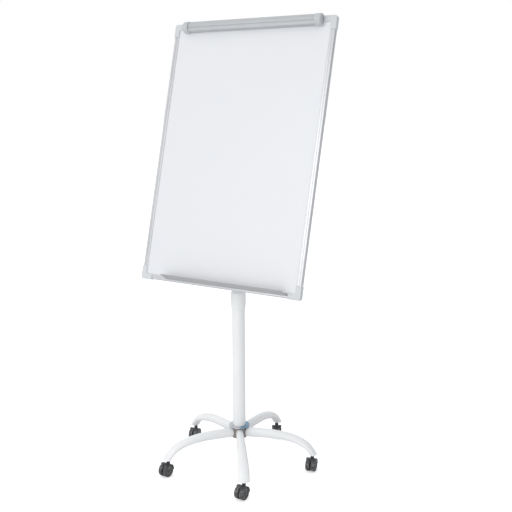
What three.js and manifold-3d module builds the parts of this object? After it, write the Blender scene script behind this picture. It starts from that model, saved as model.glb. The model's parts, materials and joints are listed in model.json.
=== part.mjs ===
// Mobile flipchart easel: a tilting whiteboard with a sprung pad clamp and a sliding pen tray, on a
// telescopic pole with a five-arm base on twin-wheel castors.
// Millimetres, +Z up, board facing -Y. The origin is on the floor under the middle of the whole object.
import * as THREE from "three";
import { mergeVertices } from "three/addons/utils/BufferGeometryUtils.js";
import Module from "manifold-3d";

const wasm = await Module();
wasm.setup();

// ---------------------------------------------------------------- driving dimensions
const GAP = 0.3; // clearance between neighbouring pieces
const POLE_AXIS_Y = -18; // the pole stands this far in front of the footprint's middle

// Base
const ARM_COUNT = 5;
const FIRST_ARM_ANGLE = 36; // degrees from -Y towards +X
const STEM_CIRCLE_R = 293; // castor stems from the pole axis
const HUB_BOTTOM_Z = 108;
const HUB_TOP_Z = 151.5;
const HUB_BOTTOM_R = 31;
const HUB_TOP_R = 28.5;
const HUB_PLATE_R = 40;
const HUB_PLATE_TOP_Z = 157.5;
const HUB_FLOOR_Z = 123; // top of the floor that the pole stands on
const ARM_END_Z = 62;
const ARM_WALL = 1.8;
const ARM_HUB_WIDTH = 28;
const ARM_HUB_HEIGHT = 39;
const ARM_END_WIDTH = 43;
const ARM_END_HEIGHT = 23;
const ARM_CUT_LENGTH = 27.5; // the flat cut at the arm's end, measured outwards
const ARM_WIDENING = 1.4; // the width is full after 1 / this share of the centreline
const ARM_THINNING = 1.15; // and the height after 1 / this share
const ARM_CENTRELINE = [
  [24, 128], [100, 129.5], [150, 128.5], [192, 124], [226, 116],
  [254, 104.5], [275, 90], [288, 75], [296.5, ARM_END_Z],
]; // radius from the pole axis, height
const TONGUE_HALF_WIDTH = 7.5; // hub tongue inside an arm
const TONGUE_Z = [118, 139];

// Castors
const WHEEL_R = 24;
const WHEEL_INNER_X = 2.4;
const WHEEL_OUTER_X = 19.5;
const WHEEL_EDGE = 3;
const CASTOR_TRAIL = 16; // axle behind the stem
const CASTOR_HEADINGS = [0, 14, 32, 14, 0]; // degrees from -Y towards +X that each castor trails
const HOOD_R = 26.5;
const HOOD_INNER_R = 24.7;
const HOOD_HALF_WIDTH = 19.8;
const WEB_HALF_WIDTH = 2;
const HOOD_BOSS_R = 7;
const HOOD_TOP_Z = 56;
const AXLE_R = 3;
const STEM_R = 4;
const STEM_COLLAR_R = 5.5;
const STEM_IN_HOOD = 7;
const STEM_IN_ARM = 12;

// Pole
const POLE_R = 25;
const POLE_WALL = 2;
const POLE_TOP_Z = 681;
const POLE_FOOT = 7.5; // thickness of the plate closing the pole's foot
const MAST_R = 21;
const MAST_WALL = 1.6;
const MAST_BOTTOM_Z = 328;
const MAST_TOP_Z = 1032.7;
const COLLAR_R = 29;
const COLLAR_BOTTOM_Z = 626;
const COLLAR_TOP_Z = 697;
const BUSH_BOTTOM_Z = 638;
const BUSH_FLANGE = 6; // the flange's top above the lower pole's rim
const BOLT_R = 5;
const BOLT_HEAD_R = 9;

// Tilt joint
const PIVOT_Z = 1072;
const PIVOT_BEHIND = 58; // pivot behind the frame's front plane
const PIVOT_UP = 363; // pivot above the board's bottom edge
const BOARD_TILT = 15; // degrees, leaning back
const HEAD_HALF_WIDTH = 22.5;
const HEAD_R = 18;
const EAR_INNER_X = 23;
const EAR_OUTER_X = 27;
const EAR_R = 13;
const CROSSBAR_HALF = 337;
const KNOB_R = 22;
const KNOB_LOBES = 6;

// Board
const BOARD_WIDTH = 700;
const BOARD_HEIGHT = 1000;
const FRAME_INSET = 2; // the corner caps stand this much proud of the profiles
const FRAME_WIDTH = 20;
const FRAME_DEPTH = 15;
const SLOT_FLOOR = 12; // depth at which the panel slot ends, from the profile's outer edge
const SLOT_FRONT = 2.2;
const SLOT_BACK = 11.2;
const CAP_LEG = 50;
const CAP_WIDTH = 22;
const CAP_FRONT = -2.5;
const CAP_BACK = 16.5;
const CAP_CORNER_R = 10;
const PANEL_HALF_WIDTH = 335.5;
const PANEL_MARGIN = 14.5; // panel edge from the board's outer edge
const TRAY_LEFT = -229;
const TRAY_RIGHT = 296;

// Clamp
const CLAMP_AXIS_N = 10; // hinge axis in front of the frame's front plane
const CLAMP_AXIS_H = 994; // hinge axis above the board's bottom edge
const CLAMP_BAR_HALF = 273.7;
const CLAMP_CURL_R = 9.5;
const CLAMP_WALL = 1.8;
const BRACKET_INNER_X = 274.3;
const BRACKET_OUTER_X = 298.5;
const BRACKET_R = 22;
const BRACKET_CENTRE = [8, 983];
const PIN_R = 3.5;
const HOOK_X = 170;

// ---------------------------------------------------------------- helpers
const rad = THREE.MathUtils.degToRad;
const AXES = {
  x: [new THREE.Vector3(0, 1, 0), new THREE.Vector3(0, 0, 1), new THREE.Vector3(1, 0, 0)],
  y: [new THREE.Vector3(0, 0, 1), new THREE.Vector3(1, 0, 0), new THREE.Vector3(0, 1, 0)],
  z: [new THREE.Vector3(1, 0, 0), new THREE.Vector3(0, 1, 0), new THREE.Vector3(0, 0, 1)],
};

// A closed three.js geometry as a solid that can be cut and joined.
function solid(geometry) {
  const bare = geometry.clone();
  bare.deleteAttribute("normal");
  bare.deleteAttribute("uv");
  const merged = mergeVertices(bare, 1e-4);
  const corners = merged.index.array;
  const kept = [];
  for (let i = 0; i < corners.length; i += 3) {
    const [a, b, c] = corners.slice(i, i + 3);
    if (a !== b && b !== c && c !== a) kept.push(a, b, c);
  }
  return new wasm.Manifold(
    new wasm.Mesh({
      numProp: 3,
      vertProperties: new Float32Array(merged.attributes.position.array),
      triVerts: new Uint32Array(kept),
    }),
  );
}

function geometryOf(body) {
  const mesh = body.getMesh();
  const geometry = new THREE.BufferGeometry();
  geometry.setAttribute("position", new THREE.BufferAttribute(mesh.vertProperties, 3));
  geometry.setIndex(new THREE.BufferAttribute(mesh.triVerts, 1));
  geometry.computeVertexNormals();
  return geometry;
}

// Joins the first list of geometries and cuts the second list out of them.
function carve(joined, removed = []) {
  let body = solid(joined[0]);
  for (const extra of joined.slice(1)) body = body.add(solid(extra));
  for (const tool of removed) body = body.subtract(solid(tool));
  return geometryOf(body);
}

// A box given by its lowest and highest value along each axis.
function block([x0, x1], [y0, y1], [z0, z1]) {
  const box = new THREE.BoxGeometry(x1 - x0, y1 - y0, z1 - z0);
  return box.translate((x0 + x1) / 2, (y0 + y1) / 2, (z0 + z1) / 2);
}

// A cylinder along an axis, between two places on it; at is the point where the axis passes.
function rod(radius, from, to, axis = "z", at = [0, 0, 0], sides = 20) {
  const body = new THREE.CylinderGeometry(radius, radius, to - from, sides);
  body.translate(0, (from + to) / 2, 0);
  if (axis === "x") body.rotateZ(-Math.PI / 2);
  if (axis === "z") body.rotateX(Math.PI / 2);
  return body.translate(...at);
}

// A profile of [radius, height] points turned about Z. A tube's profile closes on itself.
function revolve(profile, sides = 28, closed = true) {
  const points = profile.map(([r, z]) => new THREE.Vector2(r, z));
  if (closed) points.push(points[0].clone());
  return new THREE.LatheGeometry(points, sides).rotateX(Math.PI / 2);
}

// A shape extruded along an axis, starting at a place on it. The shape's own axes are the next two
// in the cycle X, Y, Z: (y, z) along X, (z, x) along Y and (x, y) along Z.
function extrude(shape, axis, from, to, options = {}) {
  const settings = { depth: to - from, bevelEnabled: false, curveSegments: 5, ...options };
  const geometry = new THREE.ExtrudeGeometry(shape, settings);
  geometry.applyMatrix4(new THREE.Matrix4().makeBasis(...AXES[axis]));
  const start = AXES[axis][2].clone().multiplyScalar(from);
  return geometry.translate(start.x, start.y, start.z);
}

// The points without any that repeat the one before, going round.
const withoutRepeats = (points) =>
  points.filter((p, i) => p.distanceTo(points[(i + points.length - 1) % points.length]) > 1e-4);

// The same outline with every point, holes included, moved by a function. A mirrored outline runs
// clockwise, and is turned round again so that its holes are still taken as holes.
function mapShape(shape, move, divisions = 4) {
  const { shape: outline, holes } = shape.extractPoints(divisions);
  const moved = withoutRepeats(outline.map(move));
  if (THREE.ShapeUtils.isClockWise(moved)) moved.reverse();
  const mapped = new THREE.Shape(moved);
  mapped.holes = holes.map((hole) => new THREE.Path(withoutRepeats(hole.map(move))));
  return mapped;
}

const polygon = (points) => new THREE.Shape(points.map(([a, b]) => new THREE.Vector2(a, b)));

function rectangle(a0, a1, b0, b1) {
  return new THREE.Path([
    new THREE.Vector2(a0, b0), new THREE.Vector2(a1, b0),
    new THREE.Vector2(a1, b1), new THREE.Vector2(a0, b1),
  ]);
}

// A point at a distance n in front of the frame and h above the board's bottom edge, as (y, z).
const boardPoint = (n, h) => new THREE.Vector2(-n, h);

const LOOKS = {
  whitePaint: { color: 0xeeefef, roughness: 0.35, metalness: 0 },
  whitePlastic: { color: 0xe6e8e8, roughness: 0.45, metalness: 0 },
  greyPlastic: { color: 0xd2d5d6, roughness: 0.5, metalness: 0 },
  aluminium: { color: 0xd6d8da, roughness: 0.3, metalness: 0.9 },
  trayAluminium: { color: 0xb4b6b8, roughness: 0.45, metalness: 0.7 },
  zinc: { color: 0xa9adb2, roughness: 0.35, metalness: 0.9 },
  blackPlastic: { color: 0x1d1e20, roughness: 0.45, metalness: 0 },
  whiteEnamel: { color: 0xf0f2f4, roughness: 0.15, metalness: 0 },
  fibreboard: { color: 0x9b7a55, roughness: 0.9, metalness: 0 },
};

function addPiece(parent, name, geometry, look, position = [0, 0, 0]) {
  const mesh = new THREE.Mesh(geometry, new THREE.MeshStandardMaterial(LOOKS[look]));
  mesh.name = name;
  mesh.position.set(...position);
  parent.add(mesh);
  return mesh;
}

// ---------------------------------------------------------------- base
// A closed oval tube skin along the arm's centreline, shrunk all round by inset.
// It runs out along local +X; from and to are the share of the centreline that it covers.
function armSkin(inset, from, to, rings, sides) {
  const path = new THREE.CatmullRomCurve3(
    ARM_CENTRELINE.map(([r, z]) => new THREE.Vector3(r, 0, z)),
  );
  const across = new THREE.Vector3(0, 1, 0);
  const positions = [];
  const index = [];
  for (let ring = 0; ring <= rings; ring++) {
    const t = THREE.MathUtils.lerp(from, to, ring / rings);
    const centre = path.getPoint(t);
    const isCut = ring === rings && to === 1;
    const along = isCut ? new THREE.Vector3(0, 0, -1) : path.getTangent(t);
    const up = new THREE.Vector3().crossVectors(along, across);
    const width = THREE.MathUtils.lerp(ARM_HUB_WIDTH, ARM_END_WIDTH, Math.min(1, t * ARM_WIDENING));
    const thin = THREE.MathUtils.lerp(ARM_HUB_HEIGHT, ARM_END_HEIGHT, Math.min(1, t * ARM_THINNING));
    const height = isCut ? ARM_CUT_LENGTH : thin;
    for (let side = 0; side < sides; side++) {
      const angle = (2 * Math.PI * side) / sides;
      const point = centre
        .clone()
        .addScaledVector(across, (width / 2 - inset) * Math.cos(angle))
        .addScaledVector(up, (height / 2 - inset) * Math.sin(angle));
      positions.push(point.x, point.y, point.z);
    }
  }
  const at = (ring, side) => ring * sides + (side % sides);
  for (let ring = 0; ring < rings; ring++) {
    for (let side = 0; side < sides; side++) {
      const [a, b] = [at(ring, side), at(ring, side + 1)];
      const [c, d] = [at(ring + 1, side), at(ring + 1, side + 1)];
      index.push(a, b, c, b, d, c);
    }
  }
  for (let side = 1; side < sides - 1; side++) {
    index.push(at(0, 0), at(0, side + 1), at(0, side));
    index.push(at(rings, 0), at(rings, side), at(rings, side + 1));
  }
  const geometry = new THREE.BufferGeometry();
  geometry.setAttribute("position", new THREE.Float32BufferAttribute(positions, 3));
  geometry.setIndex(index);
  return geometry;
}

// A hollow arm: open at the hub, closed and cut flat at the castor end, with a bore for the stem.
function armGeometry() {
  const hollowShare = 0.95; // the hollow stops here along the centreline
  const hubCut = rod(HUB_BOTTOM_R + 0.5, HUB_BOTTOM_Z - 10, HUB_PLATE_TOP_Z, "z", [0, 0, 0], 30);
  const stemBore = rod(
    STEM_R + GAP, ARM_END_Z - 2, ARM_END_Z + STEM_IN_ARM + 2, "z", [STEM_CIRCLE_R, 0, 0], 16,
  );
  return carve([armSkin(0, 0, 1, 11, 14)], [armSkin(ARM_WALL, 0, hollowShare, 8, 10), hubCut, stemBore]);
}

// Turned hub with a socket for the pole, a cover plate on top and a tongue for each arm.
function hubGeometry() {
  const turned = revolve([
    [BOLT_R + 0.4, HUB_BOTTOM_Z], [HUB_BOTTOM_R, HUB_BOTTOM_Z], [HUB_TOP_R, HUB_TOP_Z],
    [HUB_PLATE_R, HUB_TOP_Z], [HUB_PLATE_R, HUB_PLATE_TOP_Z], [POLE_R + GAP, HUB_PLATE_TOP_Z],
    [POLE_R + GAP, HUB_FLOOR_Z], [BOLT_R + 0.4, HUB_FLOOR_Z],
  ], 30);
  const tongues = [];
  for (let k = 0; k < ARM_COUNT; k++) {
    const tongue = block(
      [POLE_R + 2, HUB_BOTTOM_R + 20], [-TONGUE_HALF_WIDTH, TONGUE_HALF_WIDTH], TONGUE_Z,
    );
    tongues.push(tongue.rotateZ(armDirection(k)));
  }
  return carve([turned, ...tongues]);
}

// Direction of arm k about Z, measured from +X.
const armDirection = (k) => rad(FIRST_ARM_ANGLE + (360 / ARM_COUNT) * k - 90);

function buildBase(parent) {
  addPiece(parent, "hub", hubGeometry(), "zinc");
  const bolt = carve([
    rod(BOLT_HEAD_R, HUB_BOTTOM_Z - 7, HUB_BOTTOM_Z - GAP, "z", [0, 0, 0], 6),
    rod(BOLT_R, HUB_BOTTOM_Z - 1, HUB_FLOOR_Z + 20, "z", [0, 0, 0], 16),
  ]);
  addPiece(parent, "base_bolt", bolt, "zinc");
  const arm = armGeometry();
  for (let k = 0; k < ARM_COUNT; k++) {
    addPiece(parent, `arm_${k + 1}`, arm, "whitePaint").rotation.z = armDirection(k);
    buildCastor(parent, k);
  }
}

// ---------------------------------------------------------------- castors
// Hood in the castor's own frame: stem on Z, axle behind it at y = -CASTOR_TRAIL.
function hoodGeometry() {
  const [cy, cz] = [-CASTOR_TRAIL, WHEEL_R];
  const hubR = 9;
  const side = new THREE.Shape();
  side.absarc(cy, cz, HOOD_R, rad(-5), rad(105), false);
  side.absarc(cy, cz, hubR, rad(180), rad(330), false);
  const bulk = extrude(side, "x", -HOOD_HALF_WIDTH, HOOD_HALF_WIDTH, { curveSegments: 10 });
  const boss = rod(HOOD_BOSS_R, WHEEL_R + 12, HOOD_TOP_Z, "z", [0, 0, 0], 18);
  const wheelRoom = [-1, 1].map((s) => {
    const ends = [s * WEB_HALF_WIDTH, s * (HOOD_HALF_WIDTH + 5)].sort((a, b) => a - b);
    return rod(HOOD_INNER_R, ends[0], ends[1], "x", [0, cy, cz], 28);
  });
  const axleBore = rod(AXLE_R + GAP, -10, 10, "x", [0, cy, cz], 14);
  const stemBore = rod(
    STEM_R + GAP, HOOD_TOP_Z - STEM_IN_HOOD - 1, HOOD_TOP_Z + 2, "z", [0, 0, 0], 16,
  );
  return carve([bulk, boss], [...wheelRoom, axleBore, stemBore]);
}

// Wheel with its axis on X, its closed face outwards at +X and a blind bore for the axle.
function wheelGeometry() {
  const wheel = revolve([
    [0, WHEEL_OUTER_X - 2.3], [AXLE_R + GAP, WHEEL_OUTER_X - 2.3], [AXLE_R + GAP, WHEEL_INNER_X],
    [WHEEL_R - WHEEL_EDGE, WHEEL_INNER_X], [WHEEL_R, WHEEL_INNER_X + WHEEL_EDGE],
    [WHEEL_R, WHEEL_OUTER_X - WHEEL_EDGE], [WHEEL_R - WHEEL_EDGE, WHEEL_OUTER_X],
    [0, WHEEL_OUTER_X],
  ], 20, false);
  return wheel.rotateY(Math.PI / 2);
}

// Steel stem: pressed into the arm, with a collar that the hood turns under.
function stemGeometry() {
  return revolve([
    [0, HOOD_TOP_Z - STEM_IN_HOOD], [STEM_R, HOOD_TOP_Z - STEM_IN_HOOD], [STEM_R, HOOD_TOP_Z + GAP],
    [STEM_COLLAR_R, HOOD_TOP_Z + GAP], [STEM_COLLAR_R, ARM_END_Z - GAP],
    [STEM_R, ARM_END_Z - GAP], [STEM_R, ARM_END_Z + STEM_IN_ARM], [0, ARM_END_Z + STEM_IN_ARM],
  ], 16, false);
}

const HOOD = hoodGeometry();
const WHEEL = wheelGeometry();
const STEM = stemGeometry();

function buildCastor(parent, k) {
  const castor = new THREE.Group();
  const angle = armDirection(k);
  castor.position.set(STEM_CIRCLE_R * Math.cos(angle), STEM_CIRCLE_R * Math.sin(angle), 0);
  castor.rotation.z = rad(CASTOR_HEADINGS[k]);
  parent.add(castor);
  const axle = [0, -CASTOR_TRAIL, WHEEL_R];
  addPiece(castor, `castor_stem_${k + 1}`, STEM, "blackPlastic");
  addPiece(castor, `castor_hood_${k + 1}`, HOOD, "blackPlastic");
  const pin = rod(AXLE_R, -WHEEL_OUTER_X + 3, WHEEL_OUTER_X - 3, "x", [0, 0, 0], 14);
  addPiece(castor, `castor_axle_${k + 1}`, pin, "zinc", axle);
  addPiece(castor, `wheel_right_${k + 1}`, WHEEL, "blackPlastic", axle);
  addPiece(castor, `wheel_left_${k + 1}`, WHEEL, "blackPlastic", axle).rotation.z = Math.PI;
}

// ---------------------------------------------------------------- pole
function buildPole(parent) {
  const foot = HUB_FLOOR_Z + GAP;
  const inside = POLE_R - POLE_WALL;
  const lower = revolve([
    [BOLT_R + 0.4, foot], [POLE_R, foot], [POLE_R, POLE_TOP_Z],
    [inside, POLE_TOP_Z], [inside, foot + POLE_FOOT], [BOLT_R + 0.4, foot + POLE_FOOT],
  ], 32);
  addPiece(parent, "lower_pole", lower, "whitePaint");
  const mast = revolve([
    [MAST_R - MAST_WALL, MAST_BOTTOM_Z], [MAST_R, MAST_BOTTOM_Z],
    [MAST_R, MAST_TOP_Z], [MAST_R - MAST_WALL, MAST_TOP_Z],
  ], 32);
  addPiece(parent, "inner_pole", mast, "whitePaint");
  // Split guide bush between the two poles; its flange sits on the lower pole's rim.
  const flangeTop = POLE_TOP_Z + BUSH_FLANGE;
  const bush = revolve([
    [MAST_R + GAP, BUSH_BOTTOM_Z], [inside - GAP, BUSH_BOTTOM_Z], [inside - GAP, POLE_TOP_Z + GAP],
    [POLE_R - 0.1, POLE_TOP_Z + GAP], [POLE_R - 0.1, flangeTop], [MAST_R + GAP, flangeTop],
  ], 32);
  const split = block([-1, 1], [15, 30], [BUSH_BOTTOM_Z - 5, flangeTop + 5]);
  addPiece(parent, "guide_bush", carve([bush], [split]), "blackPlastic");
  // Twist collar that squeezes the bush onto the inner pole.
  const collar = revolve([
    [POLE_R + GAP, COLLAR_BOTTOM_Z], [POLE_R + 1.3, COLLAR_BOTTOM_Z],
    [COLLAR_R, COLLAR_BOTTOM_Z + 22], [COLLAR_R, COLLAR_TOP_Z - 8],
    [COLLAR_R - 1, COLLAR_TOP_Z - 4.5], [COLLAR_R - 3.3, COLLAR_TOP_Z - 1.2],
    [COLLAR_R - 5, COLLAR_TOP_Z],
    [MAST_R + 0.4, COLLAR_TOP_Z], [MAST_R + 0.4, flangeTop + 0.5], [POLE_R + GAP, flangeTop + 0.5],
  ], 32);
  addPiece(parent, "height_collar", collar, "whitePlastic");
}

// Moulded head on the inner pole, the bolt through it and the knob that locks the tilt.
function buildTiltHead(parent) {
  const socketTop = PIVOT_Z - 33;
  const socket = rod(MAST_R + 3, PIVOT_Z - 71, socketTop, "z", [0, 0, 0], 32);
  const neck = block(
    [-HEAD_HALF_WIDTH, HEAD_HALF_WIDTH], [-HEAD_R, HEAD_R], [socketTop - 6, PIVOT_Z],
  );
  const crown = rod(HEAD_R, -HEAD_HALF_WIDTH, HEAD_HALF_WIDTH, "x", [0, 0, PIVOT_Z], 28);
  const poleBore = rod(MAST_R + GAP, PIVOT_Z - 80, MAST_TOP_Z + GAP, "z", [0, 0, 0], 32);
  const boltBore = rod(BOLT_R + GAP, -40, 40, "x", [0, 0, PIVOT_Z], 16);
  addPiece(parent, "pole_head", carve([socket, neck, crown], [poleBore, boltBore]), "blackPlastic");

  const boltEnd = 50;
  const bolt = carve([
    rod(BOLT_HEAD_R, -EAR_OUTER_X - 7, -EAR_OUTER_X - GAP, "x", [0, 0, 0], 6),
    rod(BOLT_R, -EAR_OUTER_X - 1, boltEnd, "x", [0, 0, 0], 16),
  ]);
  addPiece(parent, "tilt_bolt", bolt, "zinc", [0, 0, PIVOT_Z]);

  const lobes = [];
  const steps = KNOB_LOBES * 6;
  for (let i = 0; i < steps; i++) {
    const angle = (2 * Math.PI * i) / steps;
    const r = KNOB_R - 2.2 * (1 - Math.cos(KNOB_LOBES * angle));
    lobes.push([r * Math.cos(angle), r * Math.sin(angle)]);
  }
  const grip = extrude(polygon(lobes), "x", EAR_OUTER_X + 9, boltEnd + 6);
  const nose = rod(12, EAR_OUTER_X + GAP, EAR_OUTER_X + 12, "x", [0, 0, 0], 20);
  const knobBore = rod(BOLT_R + GAP, EAR_OUTER_X - 2, boltEnd + GAP, "x", [0, 0, 0], 16);
  addPiece(parent, "tilt_knob", carve([grip, nose], [knobBore]), "blackPlastic", [0, 0, PIVOT_Z]);
}

// ---------------------------------------------------------------- board
// Frame profile section: first coordinate from the outer edge inwards, second from front to back.
function frameSection() {
  const section = new THREE.Shape();
  section.moveTo(5, 0);
  section.lineTo(9, 0);
  section.lineTo(9, 1);
  section.lineTo(10.5, 1);
  section.lineTo(10.5, 0);
  section.lineTo(FRAME_WIDTH - 1.5, 0);
  section.quadraticCurveTo(FRAME_WIDTH, 0, FRAME_WIDTH, 1.5);
  section.lineTo(FRAME_WIDTH, SLOT_FRONT);
  section.lineTo(SLOT_FLOOR, SLOT_FRONT);
  section.lineTo(SLOT_FLOOR, SLOT_BACK);
  section.lineTo(FRAME_WIDTH, SLOT_BACK);
  section.lineTo(FRAME_WIDTH, FRAME_DEPTH);
  section.lineTo(1, FRAME_DEPTH);
  section.lineTo(0, FRAME_DEPTH - 1);
  section.lineTo(0, 5);
  section.quadraticCurveTo(0, 0, 5, 0);
  section.holes.push(rectangle(2, 10, 3.2, 13));
  return section;
}

function buildFrame(parent) {
  const section = frameSection();
  const edge = BOARD_WIDTH / 2 - FRAME_INSET;
  for (const [name, side] of [["left", -1], ["right", 1]]) {
    const turned = mapShape(section, (p) => new THREE.Vector2(side * (edge - p.x), p.y));
    const bar = extrude(turned, "z", CAP_LEG + GAP, BOARD_HEIGHT - CAP_LEG - GAP);
    addPiece(parent, `frame_${name}`, bar, "aluminium");
  }
  const reach = BOARD_WIDTH / 2 - CAP_LEG - GAP;
  const levels = { bottom: (w) => FRAME_INSET + w, top: (w) => BOARD_HEIGHT - FRAME_INSET - w };
  for (const [name, level] of Object.entries(levels)) {
    const turned = mapShape(section, (p) => new THREE.Vector2(p.y, level(p.x)));
    addPiece(parent, `frame_${name}`, extrude(turned, "x", -reach, reach), "aluminium");
  }
}

// L-shaped corner cap with tongues that plug into the profiles and a slot for the panel's corner.
function cornerCap(side, isTop) {
  const toX = (a) => side * (BOARD_WIDTH / 2 - a);
  const toZ = (b) => (isTop ? BOARD_HEIGHT - b : b);
  const ordered = (a, b) => (a < b ? [a, b] : [b, a]);
  const outline = new THREE.Shape();
  outline.moveTo(CAP_LEG, 0);
  outline.lineTo(CAP_CORNER_R, 0);
  outline.quadraticCurveTo(0, 0, 0, CAP_CORNER_R);
  outline.lineTo(0, CAP_LEG);
  outline.lineTo(CAP_WIDTH, CAP_LEG);
  outline.lineTo(CAP_WIDTH, CAP_WIDTH + 4);
  outline.quadraticCurveTo(CAP_WIDTH, CAP_WIDTH, CAP_WIDTH + 4, CAP_WIDTH);
  outline.lineTo(CAP_LEG, CAP_WIDTH);
  const bevel = 1.5;
  const mapped = mapShape(outline, (p) => new THREE.Vector2(toZ(p.y), toX(p.x)), 3);
  const body = extrude(mapped, "y", CAP_FRONT + bevel, CAP_BACK - bevel, {
    bevelEnabled: true, bevelThickness: bevel, bevelSize: bevel, bevelOffset: -bevel, bevelSegments: 1,
  });
  const across = ordered(FRAME_INSET + 2 + GAP, FRAME_INSET + 10 - GAP);
  const along = ordered(CAP_LEG - 4, CAP_LEG + 14);
  const deep = [3.2 + GAP, 13 - GAP];
  const flatTongue = block(ordered(...along.map(toX)), deep, ordered(...across.map(toZ)));
  const tallTongue = block(ordered(...across.map(toX)), deep, ordered(...along.map(toZ)));
  const margin = PANEL_MARGIN - 0.5;
  const panelRoom = block(
    [-PANEL_HALF_WIDTH - 0.5, PANEL_HALF_WIDTH + 0.5],
    [SLOT_FRONT, SLOT_BACK],
    [margin, BOARD_HEIGHT - margin],
  );
  return carve([body, flatTongue, tallTongue], [panelRoom]);
}

// Bonded panel: enamelled steel face, fibreboard core and a thin backing sheet.
function buildPanel(parent) {
  const layers = [
    ["board_face", 2.5, 2.9, "whiteEnamel"],
    ["board_core", 3.2, 10.2, "fibreboard"],
    ["board_backing", 10.5, 10.9, "aluminium"],
  ];
  const width = [-PANEL_HALF_WIDTH, PANEL_HALF_WIDTH];
  const height = [PANEL_MARGIN, BOARD_HEIGHT - PANEL_MARGIN];
  for (const [name, front, back, look] of layers) {
    addPiece(parent, name, block(width, [front, back], height), look);
  }
}

// Channel crossbar screwed to the backs of the side profiles, with two ears for the tilt bolt.
function crossbarGeometry() {
  const [front, web, back] = [15.3, 25.3, 27.3];
  const half = 25;
  const [low, high] = [PIVOT_UP - half, PIVOT_UP + half];
  const channel = extrude(polygon([
    [front, low], [back, low], [back, high], [front, high],
    [front, high - 2], [web, high - 2], [web, low + 2], [front, low + 2],
  ]), "x", -CROSSBAR_HALF, CROSSBAR_HALF);
  const plate = block([-48, 48], [web + 1, 30], [PIVOT_UP - 30, PIVOT_UP + 30]);
  const ear = new THREE.Shape();
  ear.moveTo(29, PIVOT_UP - 22);
  ear.absarc(PIVOT_BEHIND, PIVOT_UP, EAR_R, rad(-70), rad(70), false);
  ear.lineTo(29, PIVOT_UP + 22);
  const ears = [
    extrude(ear, "x", EAR_INNER_X, EAR_OUTER_X, { curveSegments: 10 }),
    extrude(ear, "x", -EAR_OUTER_X, -EAR_INNER_X, { curveSegments: 10 }),
  ];
  const bore = rod(BOLT_R + GAP, -40, 40, "x", [0, PIVOT_BEHIND, PIVOT_UP], 16);
  return carve([channel, plate, ...ears], [bore]);
}

// Angled pen shelf that hooks into the groove of the bottom profile and slides along it.
function trayGeometry() {
  const outline = [
    [-0.7, 12.2], [-0.7, 11.3], [1, 11.3], [2, 10], [42, 24.3], [43, 26.6],
    [41.4, 27.1], [40.6, 25.8], [2, 12], [2, 19.5], [GAP, 19.5], [GAP, 12.2],
  ];
  const section = new THREE.Shape(outline.map(([n, h]) => boardPoint(n, h)));
  return extrude(section, "x", TRAY_LEFT, TRAY_RIGHT);
}

// ---------------------------------------------------------------- pad clamp
// Outer outline of the clamp bar, from its curled back edge over the top to the lip at the panel.
function clampBarOutline(inset) {
  const [n, h] = [CLAMP_AXIS_N, CLAMP_AXIS_H];
  const path = new THREE.Path();
  path.absarc(n, h, CLAMP_CURL_R - inset, Math.PI, rad(36), true);
  path.quadraticCurveTo(24.5 - inset, 995 - inset, 25 - inset, 984);
  path.lineTo(25 - inset, 979.5 + inset * 0.6);
  path.lineTo(22 - inset, 978 + inset * 0.6);
  path.lineTo(22 - inset, 967.5);
  path.quadraticCurveTo(22 - inset, 964.5 + inset, 19 - inset, 964.5 + inset);
  path.lineTo(-1.8, 964.5 + inset);
  return path.getPoints(5);
}

function clampBarGeometry() {
  const outer = clampBarOutline(0);
  const inner = clampBarOutline(CLAMP_WALL).reverse();
  const toBoard = (p) => boardPoint(p.x, p.y);
  const shell = new THREE.Shape([...outer, ...inner].map(toBoard));
  const full = new THREE.Shape([...outer, new THREE.Vector2(2.5, 980)].map(toBoard));
  const plateWidth = 3.5;
  const plates = [-CLAMP_BAR_HALF, CLAMP_BAR_HALF - plateWidth].map((x) =>
    extrude(full, "x", x, x + plateWidth),
  );
  const bores = rod(
    PIN_R + GAP, -CLAMP_BAR_HALF - 5, CLAMP_BAR_HALF + 5, "x", [0, -CLAMP_AXIS_N, CLAMP_AXIS_H], 18,
  );
  return carve([extrude(shell, "x", -CLAMP_BAR_HALF, CLAMP_BAR_HALF), ...plates], [bores]);
}

// Round end bracket with the hinge pin on its inner face; side is -1 on the left, 1 on the right.
function bracketGeometry(side) {
  const [n, h] = BRACKET_CENTRE;
  const ends = (a, b) => [side * a, side * b].sort((p, q) => p - q);
  const disc = rod(BRACKET_R, ...ends(BRACKET_INNER_X, BRACKET_OUTER_X), "x", [0, -n, h], 32);
  const pin = rod(
    PIN_R, ...ends(BRACKET_INNER_X - 18, BRACKET_INNER_X + 1), "x", [0, -CLAMP_AXIS_N, CLAMP_AXIS_H], 18,
  );
  const behind = block([-320, 320], [-GAP, 60], [900, 1100]);
  return carve([disc, pin], [behind]);
}

// Torsion spring round the hinge pin, with a short straight leg at its start.
function springGeometry(side) {
  const [coilR, turns, pitch, perTurn, leg] = [5.2, 4, 2, 10, 4];
  const points = [new THREE.Vector3(0, -CLAMP_AXIS_N + coilR, CLAMP_AXIS_H - leg)];
  for (let i = 0; i <= turns * perTurn; i++) {
    const angle = (2 * Math.PI * i) / perTurn;
    const x = side * (pitch * i) / perTurn;
    points.push(new THREE.Vector3(
      x, -CLAMP_AXIS_N + coilR * Math.cos(angle), CLAMP_AXIS_H + coilR * Math.sin(angle),
    ));
  }
  const wireR = 0.8;
  const wire = new THREE.Shape().absarc(0, 0, wireR, 0, 2 * Math.PI, false);
  const path = new THREE.CatmullRomCurve3(points, false, "centripetal");
  return new THREE.ExtrudeGeometry(wire, {
    steps: turns * perTurn + 2, extrudePath: path, curveSegments: 3, bevelEnabled: false,
  });
}

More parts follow.
